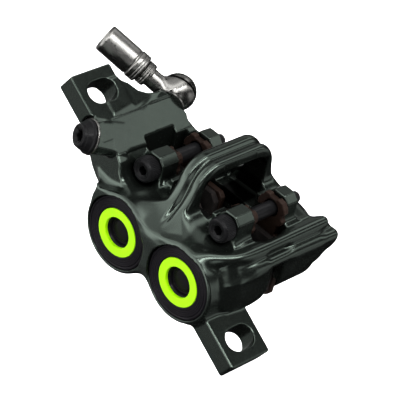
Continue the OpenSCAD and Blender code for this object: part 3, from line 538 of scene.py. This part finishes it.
def finish_material(name, dark, light, metallic, rough_lo, rough_hi, scale=900, grain=2600,
                    bump_s=0.4, bump_d=0.00001, spec=0.5, edge=None, cavity=None, room=False):
    """A finish with mottled colour and roughness, fine grain and worn edges, and painted shade that
    darkens its cavities.

    cavity is the distance that ambient occlusion looks and what the painted shade leaves of the
    colour and the reflection level deep in a cavity; room adds painted shade to the room under the
    arch.
    """
    m, nt, b = material(name)
    col = ramp_node(nt, noise(nt, scale * 0.12, 3), [(0.25, dark), (0.75, light)])
    if edge is not None:
        mix = nt.nodes.new("ShaderNodeMix")
        mix.data_type = "RGBA"
        link(nt, edge_wear(nt), mix.inputs["Factor"])
        link(nt, col, mix.inputs["A"])
        mix.inputs["B"].default_value = tuple(edge) + (1,)
        col = mix.outputs["Result"]
    if cavity is not None:
        # painted shade: ambient occlusion darkens the colour in cavities and corners
        fac = shade_factor(nt, *cavity)
        if room:
            # painted shade, nearly black, in the room under the arch and between the pads
            fac = math_node(nt, "MULTIPLY", fac, painted_room_shade(nt))
        col = times(nt, col, fac)
        # the same painted shade lowers the reflection level
        link(nt, map_range(nt, fac, 0.0, spec), b.inputs["Specular IOR Level"])
    else:
        b.inputs["Specular IOR Level"].default_value = spec
    link(nt, col, b.inputs["Base Color"])
    b.inputs["Metallic"].default_value = metallic
    rough = map_range(nt, noise(nt, scale, 4), rough_lo, rough_hi, 0.3, 0.7)
    link(nt, rough, b.inputs["Roughness"])
    bump(nt, noise(nt, grain, 2), bump_s, bump_d, b.inputs["Normal"])
    return m


M = {
    # the body gets painted shade in its cavities and in the room under the arch
    "body": finish_material(
        "body_coat", (0.066, 0.080, 0.070), (0.074, 0.089, 0.078), 0.95, 0.20, 0.24,
        scale=500, bump_s=0.1, bump_d=0.000003, cavity=(0.006, 0.05), room=True),
    "black": finish_material(
        "black_anodised", (0.004, 0.004, 0.0045), (0.007, 0.007, 0.0075), 0.0, 0.30, 0.38,
        scale=1200, spec=0.14, cavity=(0.006, 0.2)),
    "cap": finish_material(
        "cap_black", (0.004, 0.003, 0.005), (0.006, 0.005, 0.007), 0.2, 0.30, 0.38,
        scale=1200, spec=0.22, cavity=(0.006, 0.1)),
    "ring": finish_material(
        "ring_yellow_green", (0.235, 0.49, 0.0015), (0.265, 0.53, 0.002), 0.0, 0.45, 0.55,
        scale=1500, spec=0.1),
    "steel": finish_material(
        "stainless", (0.20, 0.197, 0.188), (0.25, 0.246, 0.235), 1.0, 0.24, 0.30,
        scale=1400, bump_s=0.1, bump_d=0.000004, cavity=(0.006, 0.15)),
    "sleeve": finish_material(
        "sleeve_brushed", (0.20, 0.198, 0.19), (0.27, 0.266, 0.255), 1.0, 0.26, 0.34,
        scale=1400, grain=5200, bump_s=0.3, bump_d=0.000008, cavity=(0.006, 0.1)),
    "piston": finish_material(
        "piston_metal", (0.5, 0.5, 0.5), (0.6, 0.6, 0.6), 1.0, 0.3, 0.4, cavity=(0.01, 0.05)),
    "magnet": finish_material(
        "magnet_metal", (0.3, 0.3, 0.31), (0.36, 0.36, 0.37), 1.0, 0.3, 0.4, cavity=(0.01, 0.05)),
    "rubber": finish_material(
        "rubber_black", (0.01, 0.01, 0.01), (0.016, 0.016, 0.016), 0.0, 0.6, 0.7),
    "backing": finish_material(
        "backing_brown", (0.0060, 0.0030, 0.0020), (0.0115, 0.0058, 0.0040), 0.1, 0.45, 0.58,
        scale=1600, edge=(0.016, 0.009, 0.0065), spec=0.2, cavity=(0.008, 0.04)),
    "lining": finish_material(
        "lining_compound", (0.006, 0.005, 0.005), (0.02, 0.017, 0.015), 0.0, 0.7, 0.9,
        scale=2600, grain=2400, bump_d=0.00006, bump_s=0.8, spec=0.2, cavity=(0.008, 0.1)),
    "brass": finish_material(
        "brass_barb", (0.55, 0.42, 0.16), (0.65, 0.5, 0.2), 1.0, 0.25, 0.35),
}

SLOTS = {"body": "body", "cap": "cap", "colour_ring": "ring", "piston": "piston",
         "magnet": "magnet", "seal": "rubber", "backing": "backing", "lining": "lining",
         "black_steel": "black", "steel": "steel", "brass": "brass"}
for part in frame["record"]["subparts"]:
    o = frame["nodes"][part["node"]]
    mat = M[SLOTS[part["material_slot"]]]
    if not o.material_slots:
        o.data.materials.append(mat)
    for s in o.material_slots:
        s.material = mat

# ---------------------------------------------------------------- the forged body
pitch = 0.3
body = mesh_from_field("forged_body", caliper_field, (-44.5, -10, -18.5), (44.5, 37.5, 30), pitch)
body.data.materials.append(M["body"])
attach(body, "caliper")
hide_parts("caliper_body")


# ---------------------------------------------------------------- turned pieces
KNURLS = 48


def lobed(kind, radius, angle):
    """Radius of a profile point at an angle: plain, six-sided, six-lobed or knurled."""
    if kind == "hex":
        a = (angle + math.pi / 6) % (math.pi / 3) - math.pi / 6
        return radius / math.cos(a)
    if kind == "star":
        return radius * (1 + 0.15 * math.cos(6 * angle))
    if kind == "knurl":
        return radius + 0.09 * math.cos(KNURLS * angle)
    return radius


def lathe(name, profile, place, segments=96):
    """A turned piece from (radius, height, kind) points.

    It is closed if its ends lie on the axis or meet. Edges sharper than 40 degrees stay sharp.
    """
    verts, faces = [], []
    loop = profile[0][:2] == profile[-1][:2]
    points = profile[:-1] if loop else profile
    rings = []
    for q in points:
        radius, height, kind = q if len(q) == 3 else (q[0], q[1], "")
        if radius == 0:
            rings.append([len(verts)])
            verts.append((0, 0, height))
            continue
        ring = []
        for i in range(segments):
            a = 2 * math.pi * i / segments
            r = lobed(kind, radius, a)
            ring.append(len(verts))
            verts.append((r * math.cos(a), r * math.sin(a), height))
        rings.append(ring)
    pairs = list(zip(rings, rings[1:])) + ([(rings[-1], rings[0])] if loop else [])
    for a, b in pairs:
        for i in range(segments):
            j = (i + 1) % segments
            if len(a) == 1:
                faces.append((a[0], b[i], b[j]))
            elif len(b) == 1:
                faces.append((a[i], b[0], a[j]))
            else:
                faces.append((a[i], b[i], b[j], a[j]))
    me = bpy.data.meshes.new(name)
    me.from_pydata([tuple(c * MM for c in v) for v in verts], [], faces)
    bm = bmesh.new()
    bm.from_mesh(me)
    bmesh.ops.recalc_face_normals(bm, faces=bm.faces)
    for e in bm.edges:
        e.smooth = len(e.link_faces) == 2 and e.calc_face_angle() < math.radians(40)
    bm.to_mesh(me)
    bm.free()
    me.polygons.foreach_set("use_smooth", np.ones(len(me.polygons), bool))
    at = place.copy()
    at.translation = at.translation * MM
    me.transform(at)
    me.update()
    return add_object(name, me)


def dress(o, mat, body_name, slot_name, *nodes):
    """Gives a piece its material and its body, and hides the nodes that it replaces; slot_name is
    not used.
    """
    o.data.materials.append(M[mat])
    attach(o, body_name)
    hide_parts(*nodes)
    return o


def rounded(points, size=0.12, steps=3):
    """The profile with its inner corners rounded a little."""
    out = [points[0]]
    for a, b, c in zip(points, points[1:], points[2:]):
        kind = b[2] if len(b) == 3 else ""
        la, lc = math.dist(a[:2], b[:2]), math.dist(c[:2], b[:2])
        r = min(size, 0.45 * la, 0.45 * lc)
        if kind or b[0] == 0 or r < 0.02:
            out.append(b)
            continue
        p = [b[i] + (a[i] - b[i]) * r / la for i in range(2)]
        q = [b[i] + (c[i] - b[i]) * r / lc for i in range(2)]
        for k in range(steps + 1):
            t = k / steps
            out.append(tuple((1 - t) ** 2 * p[i] + 2 * t * (1 - t) * b[i] + t * t * q[i]
                             for i in range(2)))
    out.append(points[-1])
    return out


# the caliper's own frame with +Z outboard
FACE = body_matrix() @ Matrix(((1, 0, 0, 0), (0, 0, -1, 0), (0, 1, 0, 0), (0, 0, 0, 1)))
for e in (-1, 1):
    k = 1 if e < 0 else 2
    cap_at = FACE @ Matrix.Translation((e * PISTON_X, 0, OUTBOARD_FACE))
    cap = lathe("cap_turned_%d" % k, rounded([
        (0, -5.0), (9.15, -5.0), (9.15, -4.4), (8.2, -4.4), (8.2, -3.4), (9.15, -3.4), (9.15, -2.8),
        (10.36, -2.8), (10.36, -0.28), (10.1, -0.04), (9.72, -0.04), (9.62, -0.2), (9.42, -0.2),
        (9.34, -0.06), (9.0, -0.06), (8.96, -0.12), (8.9, -0.06), (8.5, -0.06), (8.46, -0.12),
        (8.4, -0.06), (7.9, -0.06), (7.86, -0.12), (7.8, -0.06), (7.1, -0.06), (6.9, -0.22),
        (6.9, -1.0), (4.3, -1.0), (4.2, -1.05), (3.9, -1.5), (3.7, -2.3), (3.1, -2.34),
        (2.9, -2.05), (0, -2.0)], 0.07), cap_at, segments=128)
    dress(cap, "cap", "caliper", "cap", "cylinder_cap_%d" % k)
    ring = lathe("colour_ring_turned_%d" % k, rounded([
        (4.32, -0.98), (6.82, -0.98), (6.82, -0.16), (6.66, -0.02), (4.5, -0.02), (4.32, -0.2),
        (4.32, -0.98)], 0.1), cap_at, segments=128)
    dress(ring, "ring", "caliper", "colour_ring", "cap_colour_ring_%d" % k)
    pin_at = FACE @ Matrix.Translation((e * PIN_X, PIN_Z, 0))
    pin = lathe("pad_pin_turned_%d" % k, rounded([
        (0, -14.2), (1.3, -14.2), (1.6, -13.9), (1.6, -10.4), (2.0, -10.4), (2.0, PIN_SEAT),
        (3.1, PIN_SEAT), (3.34, 12.6)], 0.1) + [
        (3.4, 12.7, "knurl"), (3.4, 15.6, "knurl")] + rounded([
        (3.4, 15.72), (3.22, 16.1), (2.95, 16.36), (2.5, 16.4), (2.34, 16.3), (2.0, 16.3),
        (1.8, 16.05)], 0.08) + [
        (1.26, 15.9, "hex"), (1.26, 13.9, "hex"), (0, 13.4)], pin_at, segments=192)
    dress(pin, "black", "caliper", "black_steel", "pad_pin_%d" % k)


def plate(name, outline, y0, y1, edge):
    """A flat plate between two y of the caliper's own frame, with bevelled edges."""
    bm = bmesh.new()
    base = bm.faces.new([bm.verts.new((u * MM, y0 * MM, v * MM)) for u, v in outline])
    top = bmesh.ops.extrude_face_region(bm, geom=[base])["geom"]
    moved = [g for g in top if isinstance(g, bmesh.types.BMVert)]
    bmesh.ops.translate(bm, vec=(0, (y1 - y0) * MM, 0), verts=moved)
    bmesh.ops.recalc_face_normals(bm, faces=bm.faces)
    rims = [e for e in bm.edges if e.calc_face_angle(0) > 1.0]
    bmesh.ops.bevel(bm, geom=rims, offset=edge * MM, segments=2, profile=0.5, affect="EDGES",
                    clamp_overlap=True)
    me = bpy.data.meshes.new(name)
    bm.to_mesh(me)
    bm.free()
    at = body_matrix()
    at.translation = at.translation * MM
    me.transform(at)
    return add_object(name, me)


EYE_R = 2.36             # the open hook round a pin
EYE = [(EYE_R * math.cos(math.radians(a)), EYE_R * math.sin(math.radians(a)))
       for a in range(256, 557, 12)]
PLATE_NEAR, PLATE_FAR = 4.1, 5.84

# Known fault: the record carries each plate on its piston's body, but these ride on the caliper.
for side, label in ((-1, "outboard"), (1, "inboard")):
    for e in (-1, 1):
        k = 1 if e < 0 else 2
        wide, tall = (1.0, 1.0) if side > 0 else (0.645, 0.85)
        tab = [(-3.0 * wide, -6.9), (-3.0 * wide, -4.3), (-1.3, -3.5)] + EYE + [
            (-4.5 * wide, -1.3), (-4.75 * wide, 0.2), (-4.1 * wide, 1.6), (-3.5 * wide, 2.1),
            (-3.1 * wide, 3.3 * tall), (-1.5 * wide, 3.5 * tall), (-1.1 * wide, 3.0 * tall),
            (1.0 * wide, 3.0 * tall), (1.4 * wide, 3.5 * tall), (3.2 * wide, 3.2 * tall),
            (4.3 * wide, 1.9), (4.7 * wide, 0.6), (4.0 * wide, -0.4), (4.1 * wide, -1.3),
            (4.7 * wide, -2.0), (4.3 * wide, -3.3), (3.2 * wide, -4.2), (3.2 * wide, -6.9)]
        cx, tx = e * PISTON_X, e * PIN_X
        outline = [(cx - 9.8, -8.0), (cx - 9.8, 8.0), (cx - 8.6, 9.2)]
        outline += [(tx + u, PIN_Z + v) for u, v in tab]
        outline += [(cx + 8.6, 9.2), (cx + 9.8, 8.0), (cx + 9.8, -8.0), (cx + 8.6, -9.2),
                    (cx - 8.6, -9.2)]
        lo, hi = (PLATE_NEAR, PLATE_FAR) if side > 0 else (-PLATE_FAR, -PLATE_NEAR)
        piece = plate("backing_plate_%s_%d" % (label, k), outline, lo, hi, 0.22)
        dress(piece, "backing", "caliper", "backing", "pad_backing_%s_%d" % (label, k))

bleed_at = bleed_matrix()
washer = lathe("bleed_washer_turned", rounded([
    (2.35, 0), (4.75, 0), (4.86, 0.12), (4.86, 0.45), (4.75, 0.58), (2.35, 0.58),
    (2.35, 0)], 0.1), bleed_at)
dress(washer, "steel", "caliper", "steel", "bleed_washer")
# the shank tapers inside, because at the solid's size it breaks through this body's bridge
screw = lathe("bleed_screw_turned", rounded([
    (0, -8), (1.0, -8), (1.3, -7.6), (2.28, -1.5), (2.28, 0.6), (4.35, 0.62), (4.66, 0.85),
    (4.66, 1.25), (4.42, 1.5), (4.2, 1.62), (3.62, 2.95), (3.42, 3.1), (3.34, 3.35), (3.2, 3.75),
    (2.95, 3.96), (2.5, 3.98), (2.2, 3.8)], 0.1) + [
    (1.72, 3.5, "star"), (1.5, 3.3, "star"), (1.48, 2.1, "star"), (0, 1.8)],
    bleed_at, segments=144)
dress(screw, "black", "caliper", "black_steel", "bleed_screw")

# the fitting's frame, turned a little round the bolt, and the same with +Z along the hose
BANJO_AXIS = 3.05        # height of the hose's axis above the port's seat
HOSE = port_matrix() @ Matrix.Rotation(math.radians(-1.4), 4, "Z")
ALONG = HOSE @ Matrix(((0, 0, 1, 0), (1, 0, 0, 0), (0, 1, 0, BANJO_AXIS), (0, 0, 0, 1)))
sleeve = lathe("hose_sleeve_turned", rounded([
    (1.35, 11.2), (3.3, 11.2), (3.75, 11.35), (4.12, 11.6), (4.15, 12.0), (4.05, 12.1),
    (4.05, 12.25), (4.15, 12.35), (4.15, 12.75), (4.05, 12.85), (4.05, 13.0), (4.15, 13.1),
    (4.15, 14.1), (4.0, 14.3), (3.82, 14.4), (3.82, 14.75), (3.97, 14.9), (4.0, 15.2),
    (4.0, 24.0), (3.9, 24.45), (3.6, 24.68), (3.25, 24.7), (2.95, 24.5), (2.8, 24.0),
    (2.8, 12.5), (1.35, 12.4), (1.35, 11.2)], 0.12), ALONG)
dress(sleeve, "sleeve", "hose_end", "steel", "hose_sleeve")


BALL_Z = 5.55            # the ball's middle; its upper half is the bolt's dome


def banjo_field(p):
    """The ball's lower half with its neck and collar, in the hose's frame."""
    u, v, w = p
    ball = np.sqrt(u * u + v * v + (w - BALL_Z) ** 2) - 5.2
    r = np.hypot(v, w - BANJO_AXIS)
    neck = smax(r - 2.6, slab(u, 3.0, 9.4), 0.05)
    out = smin(ball, neck, 1.8)
    grooves = 0.10 * np.cos(u * 9.0) * (np.abs(u - 9.9) < 1.0)
    collar = smax(r - 3.45 + grooves, slab(u, 8.7, 11.2), 0.5)
    out = smin(out, collar, 0.3)
    out = smax(out, np.where(u < 6.5, slab(w, 0.55, BALL_Z), -5.0), 0.12)
    dimple = np.sqrt(((u - 2.4) / 2.2) ** 2 + ((v + 4.9) / 1.0) ** 2 + ((w - 3.3) / 1.7) ** 2) - 1.0
    out = smax(out, -dimple * 0.9, 0.5)
    out = np.maximum(out, -(np.hypot(u, v) - 2.58))
    return np.maximum(out, -np.maximum(r - 1.3, -u))


banjo = mesh_from_field("banjo_forged", banjo_field, (-5.6, -5.6, -0.8), (11.6, 5.6, 7.0),
                        0.16)
at = HOSE.copy()
at.translation = at.translation * MM
banjo.data.transform(at)
dress(banjo, "steel", "hose_end", "steel", "banjo_fitting")
DOME_R = 5.17
dome = [(DOME_R * math.cos(math.radians(d)), BALL_Z + DOME_R * math.sin(math.radians(d)))
        for d in range(7, 66, 4)]
# tapered inside for the same reason as the bleed screw
bolt = lathe("banjo_bolt_turned", [
    (0, -7), (1.0, -7), (1.4, -6.6), (2.5, -1.0), (2.5, 6.15), (5.0, 6.15)] + dome + [
    (1.9, 10.35), (1.72, 10.2), (1.5, 10.0, "hex"), (1.5, 8.3, "hex"), (0, 7.8)], port_matrix())
dress(bolt, "steel", "caliper", "steel", "banjo_bolt")

# ---------------------------------------------------------------- floor, light, camera
me = bpy.data.meshes.new("floor")
bm = bmesh.new()
bmesh.ops.create_grid(bm, x_segments=2, y_segments=2, size=6.0)
bm.to_mesh(me)
bm.free()
FLOOR_Z = -0.30
floor = add_object("floor", me)
floor.location = (0, 0, FLOOR_Z)
m, nt, b = material("floor_pale")
pale = ramp_node(nt, noise(nt, 2.0), [(0.0, (0.93, 0.93, 0.93)), (1.0, (0.95, 0.95, 0.95))])
link(nt, pale, b.inputs["Base Color"])
b.inputs["Roughness"].default_value = 0.9
floor.data.materials.append(m)


def area_light(name, at, target, size, power):
    l = bpy.data.lights.new(name, "AREA")
    l.energy = power
    l.size = size
    o = add_object(name, l)
    o.location = at
    o.rotation_euler = (Vector(target) - Vector(at)).to_track_quat("-Z", "Y").to_euler()
    o.visible_glossy = False
    return o


def aim(direction, distance):
    v = Vector(direction).normalized() * distance
    return (v.x, v.y, v.z)


# a soft light for what isn't polished and a wash mainly for the floor, both hidden from
# reflections; the soft boxes that polished surfaces show are bright fields of the world
area_light("soft_box_top", aim((0.30, -0.35, 0.86), 1.3), (0, 0.01, 0), 1.9, 3.5)
area_light("floor_wash", (0.0, 0.2, 2.6), (0, 0.2, FLOOR_Z), 3.5, 150)
floor.visible_glossy = False

bpy.context.scene.view_settings.view_transform = "Standard"
bpy.context.scene.view_settings.gamma = 0.88
w = bpy.data.worlds.new("studio")
bpy.context.scene.world = w
w.use_nodes = True
nt = w.node_tree
geo = nt.nodes.new("ShaderNodeTexCoord")
sep = nt.nodes.new("ShaderNodeSeparateXYZ")
link(nt, geo.outputs["Generated"], sep.inputs[0])


def calc(op, a, b):
    return math_node(nt, op, a, b)


def step(v, a, b):
    """0 below a, 1 above b, smooth between; b may lie below a."""
    r = nt.nodes.new("ShaderNodeMapRange")
    r.interpolation_type = "SMOOTHSTEP"
    lo, hi = (a, b) if a < b else (b, a)
    r.inputs["From Min"].default_value = lo
    r.inputs["From Max"].default_value = hi
    r.inputs["To Min"].default_value = 0.0 if a < b else 1.0
    r.inputs["To Max"].default_value = 1.0 if a < b else 0.0
    link(nt, v, r.inputs["Value"])
    return r.outputs["Result"]


def field_of_light(power, *windows):
    """A bright field where every (value, a, b, c, d) is past a-b and short of c-d."""
    out = None
    for v, a, b, c, d in windows:
        f = calc("MULTIPLY", step(v, a, b), step(v, d, c))
        out = f if out is None else calc("MULTIPLY", out, f)
    return calc("MULTIPLY", out, power)


rx, ry, rz = sep.outputs["X"], sep.outputs["Y"], sep.outputs["Z"]
azimuth = calc("ARCTAN2", ry, rx)
HIGH = (rz, 0.25, 0.40, 2, 3)
LOW = (rz, -0.58, -0.42, -0.18, -0.02)
MIDDLE = (rz, -0.18, -0.02, 0.24, 0.40)
FRONT = (ry, -1.3, -1.1, 0.27, 0.43)
BACK = (ry, 0.27, 0.43, 1.1, 1.3)


def sector(lo, hi, soft=6):
    """A window of azimuth between two angles in degrees, with soft edges."""
    return (azimuth,) + tuple(math.radians(v) for v in (lo - soft, lo + soft, hi - soft, hi + soft))


# The strengths were fitted to the photo's highlights and rounded.
fields = [
    # a long narrow strip overhead, along the axle
    field_of_light(15.0, (rx, -0.07, -0.03, 0.05, 0.09), (ry, -0.95, -0.75, 0.30, 0.50),
                   (rz, 0.0, 0.15, 2, 3)),
    # the ceiling left of it
    field_of_light(3.4, (rx, -0.59, -0.51, -0.32, -0.24), FRONT, HIGH),
    field_of_light(1.9, (rx, -0.59, -0.51, -0.32, -0.24), BACK, HIGH),
    field_of_light(1.0, (rx, -1.14, -1.06, -0.59, -0.51), FRONT, HIGH),
    # and right of it
    field_of_light(2.6, (rx, 0.03, 0.11, 0.26, 0.34), (ry, -0.43, -0.27, 0.27, 0.43), HIGH),
    field_of_light(1.7, (rx, 0.03, 0.11, 0.26, 0.34), BACK, HIGH),
    field_of_light(1.5, (rx, 0.51, 0.59, 1.06, 1.14), (ry, -1.3, -1.1, -0.43, -0.27), HIGH),
    field_of_light(1.1, (rx, 0.51, 0.59, 1.06, 1.14), BACK, HIGH),
    # a wide box on the left beside the camera, and weaker ones round the object
    field_of_light(3.2, sector(-180, -75), LOW),
    field_of_light(2.1, sector(-180, -75), MIDDLE),
    field_of_light(0.5, sector(-75, -45), MIDDLE),
    field_of_light(0.65, sector(30, 75), MIDDLE),
    field_of_light(0.55, sector(105, 180), MIDDLE),
    # the room: dark below, less so on the left
    field_of_light(0.45, (rz, -2, -1.9, -0.58, -0.42), (rx, -2, -1.9, -0.1, 0.1)),
]
sky = fields[0]
for f in fields[1:]:
    sky = calc("ADD", sky, f)
sky = calc("ADD", sky, 0.02)
path = nt.nodes.new("ShaderNodeLightPath")
pick = nt.nodes.new("ShaderNodeMix")
pick.data_type = "RGBA"
link(nt, path.outputs["Is Camera Ray"], pick.inputs["Factor"])
link(nt, sky, pick.inputs["A"])
pick.inputs["B"].default_value = (0.95, 0.95, 0.95, 1)
link(nt, pick.outputs["Result"], nt.nodes["Background"].inputs["Color"])

# the camera that was fitted to the photo
cam = bpy.data.cameras.new("camera")
cam.sensor_width = 36
cam.lens = 204.8977
cam.clip_start = 0.01
cam_ob = add_object("camera", cam)
cam_ob.matrix_world = Matrix((
    (0.4839584, -0.8663969, 0.1230475, 0.0734808),
    (0.691357, 0.2923455, -0.6607265, -0.3843572),
    (0.536479, 0.4048339, 0.7404726, 0.4491936),
    (0, 0, 0, 1)))
bpy.context.scene.camera = cam_ob
